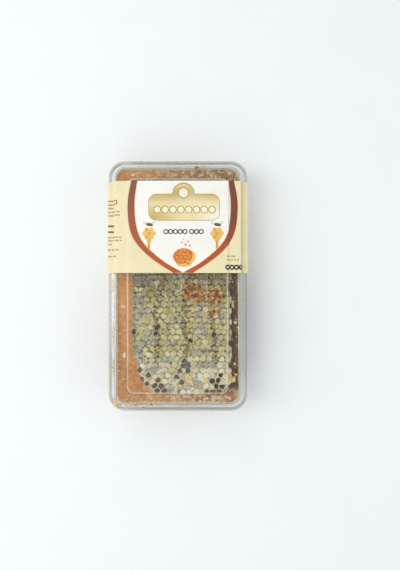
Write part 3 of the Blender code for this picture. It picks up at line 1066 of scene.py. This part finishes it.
def ink(name, shapes, layer, material):
    """Flat shapes cut along the band's folds, and laid on it as one thin layer of ink.

    A shape is a list of points round a convex or simple outline, or a pair of such lists of
    one length with the ink between them. Its points are (distance along the band, y).
    """
    bm = bmesh.new()
    for shape in shapes:
        if isinstance(shape, tuple):
            outer, inner = [[bm.verts.new((*point, 0)) for point in side] for side in shape]
            for i in range(len(outer) - 1):
                bm.faces.new((outer[i], outer[i + 1], inner[i + 1], inner[i]))
        else:
            bm.faces.new([bm.verts.new((*point, 0)) for point in shape])
    bm.normal_update()
    bmesh.ops.triangulate(bm, faces=list(bm.faces), ngon_method="EAR_CLIP")
    folds = [((along, 0, 0), (1, 0, 0)) for along in band_along[1:-1]]
    folds += [((0, y, 0), (0, 1, 0)) for y in band_rows[1:-1]]
    for middle, across in folds:
        everything = list(bm.verts) + list(bm.edges) + list(bm.faces)
        bmesh.ops.bisect_plane(bm, geom=everything, dist=1e-7, plane_co=middle, plane_no=across)
    for vert in bm.verts:
        vert.co = band_place(vert.co.x, vert.co.y, paper + ink_step * layer)
    for face in bm.faces:
        face.normal_update()
        if face.normal.z < 0:
            face.normal_flip()
    mesh = bpy.data.meshes.new(name)
    bm.to_mesh(mesh)
    bm.free()
    mesh.materials.append(material)
    mesh.shade_smooth()
    return settle(bpy.data.objects.new(name, mesh))


def along_at(x):
    """The distance along the band's line at which it passes over a given x, above the lid."""
    above = [i for i in range(len(band_line)) if band_line[i].y > shoulder_z - MM]
    best = min(above, key=lambda i: (abs(band_line[i].x - x), -band_line[i].y))
    return band_along[best] + (x - band_line[best].x)


def flowing(points, steps=8):
    """A smooth line through points."""
    ends = [points[0], *points, points[-1]]
    line = []
    for before, a, b, after in zip(ends, ends[1:], ends[2:], ends[3:]):
        before, a, b, after = (Vector(point) for point in (before, a, b, after))
        for step in range(steps):
            t = step / steps
            line.append(
                0.5 * (2 * a + (b - before) * t + (2 * before - 5 * a + 4 * b - after) * t**2
                       + (3 * a - before - 3 * b + after) * t**3)
            )
    line.append(Vector(points[-1]))
    return line


# Half the shield: how far its edges reach from its middle, and at what y, in millimetres.
outer_half = flowing(
    [(41.6, 84.8), (44.3, 70), (44.3, 56), (42.3, 44), (37.9, 35), (29.8, 26), (19.4, 18), (7.6, 10.5)]
)
inner_half = flowing(
    [(36.8, 84.8), (38.9, 70), (38.7, 56), (36.6, 44), (31.8, 34.5), (23.4, 26), (13.2, 18.2), (0.3, 10.9)]
)


def side_line(half, side, grow=0.0):
    return [(art_x + side * (reach + grow) * MM, y * MM) for reach, y in half]


shield_field = side_line(inner_half, 1) + side_line(inner_half, -1)[::-1]
ink("print_shield", [shield_field], 1, printed("white ink", tint(249, 248, 241)))


def band_brown(tree):
    """Brown at the top of the shield, turning to orange-red at its tip, with painted shade darkening its
    upper right part.
    """
    height = position(tree, "Y")
    blotch = speckle(tree, 60, 2)
    brown = mixed(tree, ranged(tree, height, 0.084, 0.055), tint(132, 76, 60), tint(158, 82, 42))
    low = mixed(tree, ranged(tree, blotch, 0.35, 0.65), tint(184, 76, 18), tint(192, 88, 28))
    printed_brown = mixed(tree, ranged(tree, height, 0.055, 0.02), brown, low)
    # Painted shade: the band darker down its right side, turned away from the lamp.
    painted_shade_side = maths(
        tree,
        "MULTIPLY",
        ranged(tree, position(tree, "X"), 0.03, 0.044, 0, 0.55),
        ranged(tree, height, 0.03, 0.05),
    )
    return mixed(tree, painted_shade_side, printed_brown, tint(104, 50, 40))


brown_bands = [(side_line(outer_half, side), side_line(inner_half, side)) for side in (-1, 1)]
ink("print_brown_bands", brown_bands, 2, printed("brown ink", band_brown))
halos = [
    (side_line(half, side, grow), side_line(half, side, grow + step))
    for side in (-1, 1) for half, grow, step in ((outer_half, 0.1, 0.5), (inner_half, -0.1, -0.5))
]
ink("print_halo_lines", halos, 3, printed("pale orange ink", tint(246, 214, 170)))


def plaque_outline(grow):
    """A wide rounded plate with half a round boss standing on the middle of its top edge."""
    half, low, high = 28.3 * MM + grow, 53.1 * MM - grow, 73.8 * MM + grow
    corner = 6.2 * MM + grow
    boss = 8.5 * MM + grow
    points = []
    for end in (-1, 1):
        middle_y = (low + corner) if end < 0 else (high - corner)
        for step in range(9):
            angle = math.radians(90 * ((end - 1) / 2 + step / 8))
            reach = half - corner + corner * math.cos(angle)
            points.append((reach, middle_y + corner * math.sin(angle)))
    mirrored = [(-x, y) for x, y in points][::-1]
    for step in range(17):
        angle = math.pi * step / 16
        points.append((boss * math.cos(angle) - 0.5 * MM, high + boss * math.sin(angle)))
    return [(art_x + 0.9 * MM + x, y) for x, y in points + mirrored]


def brushed_gold(tree):
    """Printed gold: dark at the boss's foot, pale across the plate, deeper at one lower corner."""
    across, height = position(tree, "X"), position(tree, "Y")
    sheen = speckle(tree, 40, 2, (0.6, 1.6, 1))
    gold = mixed(tree, ranged(tree, height, 0.0745, 0.066), tint(200, 164, 92), tint(238, 224, 170))
    boss_top = mixed(tree, ranged(tree, height, 0.0745, 0.081), gold, tint(228, 206, 146))
    corner = maths(
        tree, "MULTIPLY", ranged(tree, across, 0.002, -0.02), ranged(tree, height, 0.067, 0.056)
    )
    gold = mixed(tree, corner, boss_top, tint(204, 174, 98))
    white_corner = maths(
        tree, "MULTIPLY", ranged(tree, across, 0.012, 0.032), ranged(tree, height, 0.068, 0.058)
    )
    gold = mixed(tree, white_corner, gold, tint(250, 246, 230))
    return mixed(tree, ranged(tree, sheen, 0.5, 0.75, 0, 0.4), gold, tint(248, 240, 206))


plaque = plaque_outline(0)
rim_line = plaque_outline(0.5 * MM)
ink("print_plaque", [plaque], 2, printed("gold ink", brushed_gold, (0.24, 0.36)))
plaque_rim = [(rim_line + rim_line[:1], plaque + plaque[:1])]
old_gold = printed("old gold ink", tint(184, 164, 98))
ink("print_plaque_rim", plaque_rim, 3, old_gold)


def polygon(x, y, radius, sides, turn=0):
    """A regular shape of so many sides, its first corner turned by so many degrees."""
    return [
        (
            x + radius * math.cos(math.radians(360 * i / sides + turn)),
            y + radius * math.sin(math.radians(360 * i / sides + turn)),
        )
        for i in range(sides)
    ]


def outline(x, y, radius, line, sides=6, turn=30):
    """The same shape as a line of a given thickness."""
    outer, inner = polygon(x, y, radius, sides, turn), polygon(x, y, radius - line, sides, turn)
    return outer + outer[:1], inner + inner[:1]


# Plain rings stand on the plaque, and plain hexagons below it, as a row of beads would.
bead_y, bead_pitch = 61.4 * MM, 6.3 * MM
bead_places = [art_x + 1.4 * MM + (i - 3.5) * bead_pitch for i in range(8)]
beads = [polygon(x, bead_y, 2.5 * MM, 20) for x in bead_places]
bead_lines = [outline(x, bead_y, 3.1 * MM, 0.75 * MM, 20) for x in bead_places]
boss_x, boss_y = art_x + 0.4 * MM, 75.0 * MM
beads.append(polygon(boss_x, boss_y, 4.0 * MM, 6, 30))
bead_lines.append(outline(boss_x, boss_y, 5.0 * MM, 1.0 * MM))
ink("print_pale_beads", beads, 4, printed("pale gold ink", tint(250, 244, 214)))
ink("print_bead_lines", bead_lines, 5, old_gold)

dark_ink = printed("dark ink", tint(62, 60, 56))
title_y, title_pitch = 43.8 * MM, 3.85 * MM
title_places = [-11.4 * MM + 2 * MM + i * title_pitch for i in range(5)]
title_places += [11.4 * MM + i * title_pitch for i in range(3)]
marks = [outline(x, title_y, 2.3 * MM, 1.0 * MM) for x in title_places]
corner_start = along_at(38.6 * MM)
marks += [
    outline(corner_start + (2.0 + 3.7 * i) * MM, 15.1 * MM, 2.4 * MM, 1.45 * MM) for i in range(5)
]
ink("print_dark_hexagons", marks, 2, dark_ink)


def dash(x0, x1, y, thick):
    """A short stroke with clipped corners."""
    nick = thick * 0.3
    top, low = y + thick / 2, y - thick / 2
    return [
        (x0 + nick, low), (x1 - nick, low), (x1, low + nick), (x1, top - nick),
        (x1 - nick, top), (x0 + nick, top), (x0, top - nick), (x0, low + nick),
    ]


def dashes(x0, x1, y, thick, seed):
    """A row of strokes of uneven length, with gaps between them like those between words."""
    chance = random.Random(seed)
    row = []
    while x0 < x1 - thick:
        end = min(x0 + thick * chance.uniform(1.4, 4.2), x1)
        row.append(dash(x0, end, y, thick))
        x0 = end + thick * 0.55
    return row


skirt_side = along_at(-57 * MM)
fine_rows, bold_rows = [], []
for i, (y, reach, rows, thick) in enumerate(
    (
        (63.3, -50.7, fine_rows, 1.2), (60.0, -46.6, fine_rows, 1.2), (57.2, -46.6, fine_rows, 1.2),
        (48.7, -51.1, bold_rows, 1.7), (43.9, -51.9, bold_rows, 1.6), (39.4, -45.5, fine_rows, 1.2),
        (36.8, -45.1, fine_rows, 1.2), (33.8, -53.9, fine_rows, 1.2), (29.3, -45.5, fine_rows, 1.4),
        (24.0, -48.2, fine_rows, 1.2),
    )
):
    rows += dashes(skirt_side, along_at(reach * MM), y * MM, thick * MM, 20 + i)
for i, (y, length) in enumerate(((24.0, 10.5), (21.0, 11.5))):
    fine_rows += dashes(corner_start + MM, corner_start + length * MM, y * MM, 1.1 * MM, 40 + i)
for side in (-1, 1):
    for i in range(9):
        start = band_half - 20 * MM
        row = dashes(start, start + 12 * MM, (78 - 6.5 * i) * MM, 1.2 * MM, 60 + i)
        fine_rows += [[(side * along, y) for along, y in stroke] for stroke in row]
ink("print_fine_rows", fine_rows, 2, printed("grey ink", tint(178, 164, 124)))
ink("print_bold_rows", bold_rows, 2, printed("dark grey ink", tint(112, 104, 84)))


def open_bar(x0, x1, y0, y1, line):
    """A hollow bar open at its outer end, where it runs off round the edge."""
    outer = [(x0, y0), (x1 - line, y0), (x1, y0 + line), (x1, y1 - line), (x1 - line, y1), (x0, y1)]
    inner = [
        (x0, y0 + line), (x1 - 1.5 * line, y0 + line), (x1 - line, y0 + 1.5 * line),
        (x1 - line, y1 - 1.5 * line), (x1 - 1.5 * line, y1 - line), (x0, y1 - line),
    ]
    return outer, inner


red_bar = open_bar(skirt_side, along_at(-48.6 * MM), 65.6 * MM, 69.6 * MM, 0.95 * MM)
ink("print_red_bar", [red_bar], 2, printed("red ink", tint(214, 70, 60)))


def oval(x, y, half_x, half_y, lean=0.0, steps=24):
    points = []
    for px, py in polygon(0, 0, 1, steps):
        px, py = px * half_x, py * half_y
        turned_y = px * math.sin(lean) + py * math.cos(lean)
        points.append((x + px * math.cos(lean) - py * math.sin(lean), y + turned_y))
    return points


def hanging_drop(x, y, width, length):
    """A drop of honey: narrow at the top, round at the foot."""
    points = []
    for step in range(24):
        angle = 2 * math.pi * step / 24
        swell = (1 - math.cos(angle)) / 2
        reach = width / 2 * math.sin(angle) * (0.45 + 0.55 * swell)
        points.append((x + reach, y + length * (1 - swell)))
    return points[::-1]


# Two small combs that drip, each with a bee on top, and a broken piece of comb in the shield's foot.
yellow, orange, amber, brown, wings = [], [], [], [], []
for motif_x in (art_x - 27.4 * MM, art_x + 27.4 * MM):
    for row, across in enumerate((2, 3, 2, 1)):
        for i in range(across):
            x = motif_x + (i - (across - 1) / 2) * 3.6 * MM
            y = (45.2 - row * 2.9) * MM
            yellow.append(polygon(x, y, 2.15 * MM, 6, 30))
            if (row + i) % 2 == 0:
                amber.append(polygon(x, y, 1.25 * MM, 6, 30))
    amber.append(hanging_drop(motif_x, 29.4 * MM, 2.6 * MM, 8.5 * MM))
    brown.append(oval(motif_x + 0.4 * MM, 49.4 * MM, 2.9 * MM, 1.3 * MM, -0.15))
    wings += [oval(motif_x + s * 3.2 * MM, 50.6 * MM, 2.2 * MM, 0.9 * MM, s * 0.5) for s in (-1, 1)]

piece_x, piece_y = art_x + 0.9 * MM, 23.0 * MM
yellow.append(oval(piece_x + 1.2 * MM, piece_y - 0.6 * MM, 8.6 * MM, 6.4 * MM, 0.45))
orange.append(oval(piece_x - 1.0 * MM, piece_y + 1.2 * MM, 8.0 * MM, 6.2 * MM, 0.2))
yellow.append(oval(piece_x, piece_y - 4.4 * MM, 6.4 * MM, 3.4 * MM))
for row, across in enumerate((3, 4, 3, 2)):
    for i in range(across):
        x = piece_x + ((i - (across - 1) / 2) * 3.3 - 0.8) * MM
        y = piece_y + (row * 2.8 - 2.6) * MM
        amber.append(polygon(x, y, 1.15 * MM, 6, 30))
crumbs = (
    (-1.6, 12.0, 0.7), (1.2, 10.4, 0.9), (3.2, 12.8, 0.7), (-0.4, 14.4, 0.5), (4.6, 9.6, 0.8),
)
for x, y, size in crumbs:
    orange.append(polygon(piece_x + x * MM, piece_y + y * MM, size * MM, 6, 30))


def honey_print(tree):
    blotch = speckle(tree, 420, 3)
    return mixed(tree, ranged(tree, blotch, 0.36, 0.64), tint(204, 88, 22), tint(228, 132, 44))


ink("print_wings", wings, 2, printed("pale grey ink", tint(226, 220, 210)))
ink("print_yellow", yellow, 3, printed("yellow ink", tint(240, 196, 104)))
ink("print_orange", orange, 4, printed("orange ink", honey_print))
ink("print_amber", amber, 5, printed("amber ink", tint(230, 158, 66)))
ink("print_brown_bees", brown, 5, printed("bee brown ink", tint(110, 78, 58)))


# --- Floor, lights and camera -----------------------------------------------------------------
# A plain pale table top, a large soft lamp to one side and a dim one opposite, and a camera that
# looks straight down on the lid from arm's length.

table_finish, tree = blank_material("pale table")
grain = speckle(tree, 30, 4)
table_inputs = {
    "Base Color": mixed(tree, grain, tint(240, 247, 249), tint(244, 250, 252)),
    "Roughness": ranged(tree, grain, 0.3, 0.7, 0.55, 0.65),
}
table_shader = add(tree, "ShaderNodeBsdfPrincipled", table_inputs)
add(tree, "ShaderNodeOutputMaterial", {"Surface": table_shader.outputs[0]})
bpy.ops.mesh.primitive_plane_add(size=6, location=(0, 0, -0.05 * MM))
table = bpy.context.object
table.name = "table_top"
table.data.materials.append(table_finish)


def soft_lamp(name, place, size, length, watts):
    """A white lamp aimed at the box, of a size across and a length along it."""
    data = bpy.data.lights.new(name, "AREA")
    data.shape = "RECTANGLE"
    data.size = size
    data.size_y = length
    data.energy = watts
    lamp = bpy.data.objects.new(name, data)
    lamp.location = place
    lamp.rotation_euler = (-Vector(place)).to_track_quat("-Z", "Y").to_euler()
    bpy.context.scene.collection.objects.link(lamp)
    return lamp


soft_lamp("window_lamp", (-0.72, 0.05, 1.0), 0.45, 1.1, 5.5)
soft_lamp("near_lamp", (-0.3, -0.95, 0.9), 0.6, 0.6, 1.7)
soft_lamp("far_lamp", (-0.3, 0.95, 0.9), 0.6, 0.6, 1.7)
soft_lamp("side_fill", (0.95, -0.1, 0.6), 0.8, 0.8, 1.8)

world = bpy.data.worlds.new("studio")
world.use_nodes = True
world.node_tree.nodes["Background"].inputs["Color"].default_value = (1, 1, 1, 1)
world.node_tree.nodes["Background"].inputs["Strength"].default_value = 0.585
bpy.context.scene.world = world

view_height = 455 * MM  # from the lid's shoulder
view_across = 466 * MM  # what the frame's long side takes in at the shoulder
camera_data = bpy.data.cameras.new("camera")
camera_data.sensor_width = 36
camera_data.lens = camera_data.sensor_width * view_height / view_across
camera = bpy.data.objects.new("camera", camera_data)
camera.location = (18.1 * MM, 0.8 * MM, shoulder_z + view_height)
bpy.context.scene.collection.objects.link(camera)
bpy.context.scene.camera = camera
bpy.context.scene.view_settings.view_transform = "Standard"

bpy.context.view_layer.update()
